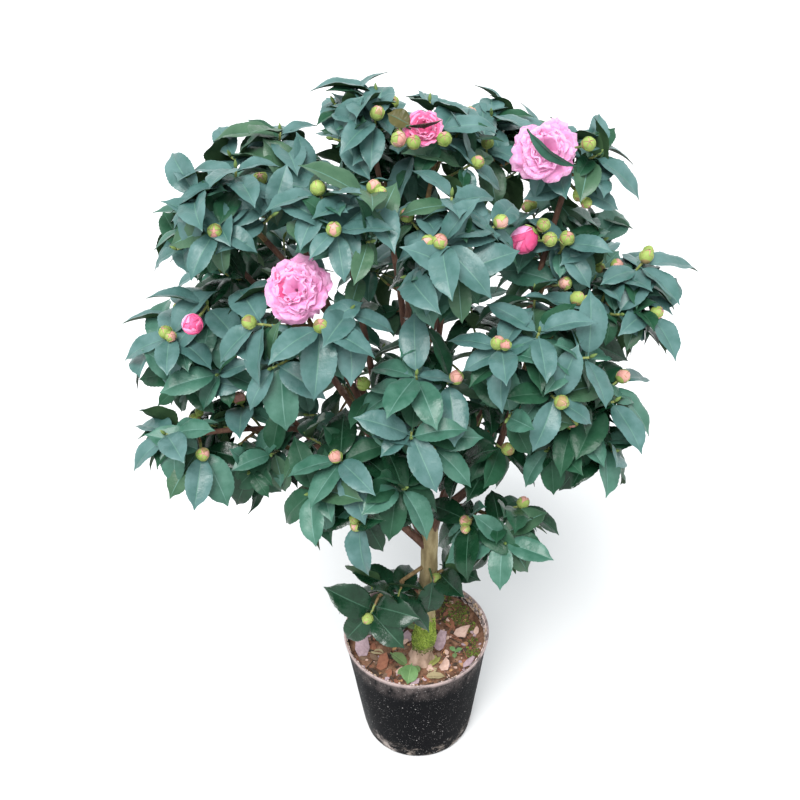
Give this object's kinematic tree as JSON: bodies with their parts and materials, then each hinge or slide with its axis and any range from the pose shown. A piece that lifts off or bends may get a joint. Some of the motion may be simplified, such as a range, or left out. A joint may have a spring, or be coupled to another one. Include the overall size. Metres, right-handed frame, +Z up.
{
  "type": "potted camellia shrub",
  "caption": "Small evergreen camellia with an open bushy crown, glossy leaves, round buds and a few pink blossoms, in a plain black nursery pot that stands on its flat base.",
  "frame": {"origin": "centre of the pot's flat underside, on the ground", "axes": "+Z up along the plant; -Y is the plant's front, the side that the picture shows; +X is its right as seen from the front"},
  "size_m": [0.733, 0.5828, 1.0978],
  "materials": {
    "pot_plastic": "moulded black plastic, a little dusty",
    "potting_soil": "rough, crumbly bark and peat mix",
    "trunk_bark": "tan, finely ridged bark with moss near its foot",
    "young_bark": "smooth reddish brown bark",
    "foliage": "leathery, glossy dark green leaves on thin twigs"
  },
  "bodies": {
    "root": {"pot": "pot_plastic", "soil": "potting_soil", "trunk": "trunk_bark", "bough_back_left": "young_bark", "bough_back_low_left": "young_bark", "bough_back_low_right": "young_bark", "bough_back_mid": "young_bark", "bough_back_right": "young_bark", "bough_back_top": "young_bark", "bough_heart": "young_bark", "bough_left_low": "young_bark", "bough_left_low_spray": "young_bark", "bough_left_mid": "young_bark", "bough_left_outer": "young_bark", "bough_left_upper": "young_bark", "bough_mid_low": "young_bark", "bough_middle": "young_bark", "bough_middle_right": "young_bark", "bough_right_centre_low": "young_bark", "bough_right_low": "young_bark", "bough_right_low_spray": "young_bark", "bough_right_mid": "young_bark", "bough_right_outer": "young_bark", "bough_right_upper": "young_bark", "bough_top_left": "young_bark", "bough_top_left_mid": "young_bark", "bough_top_left_outer": "young_bark", "bough_top_mid": "young_bark", "bough_top_right": "young_bark", "bough_top_right_tip": "young_bark", "foliage_back_left": "foliage", "foliage_back_low_left": "foliage", "foliage_back_low_right": "foliage", "foliage_back_mid": "foliage", "foliage_back_right": "foliage", "foliage_back_top": "foliage", "foliage_heart": "foliage", "foliage_left_low": "foliage", "foliage_left_low_spray": "foliage", "foliage_left_mid": "foliage", "foliage_left_outer": "foliage", "foliage_left_upper": "foliage", "foliage_mid_low": "foliage", "foliage_middle": "foliage", "foliage_middle_right": "foliage", "foliage_pot_spray_left": "foliage", "foliage_pot_spray_right": "foliage", "foliage_right_centre_low": "foliage", "foliage_right_low": "foliage", "foliage_right_low_spray": "foliage", "foliage_right_mid": "foliage", "foliage_right_outer": "foliage", "foliage_right_upper": "foliage", "foliage_top_left": "foliage", "foliage_top_left_mid": "foliage", "foliage_top_left_outer": "foliage", "foliage_top_mid": "foliage", "foliage_top_right": "foliage", "foliage_top_right_tip": "foliage"}
  },
  "joints": []
}
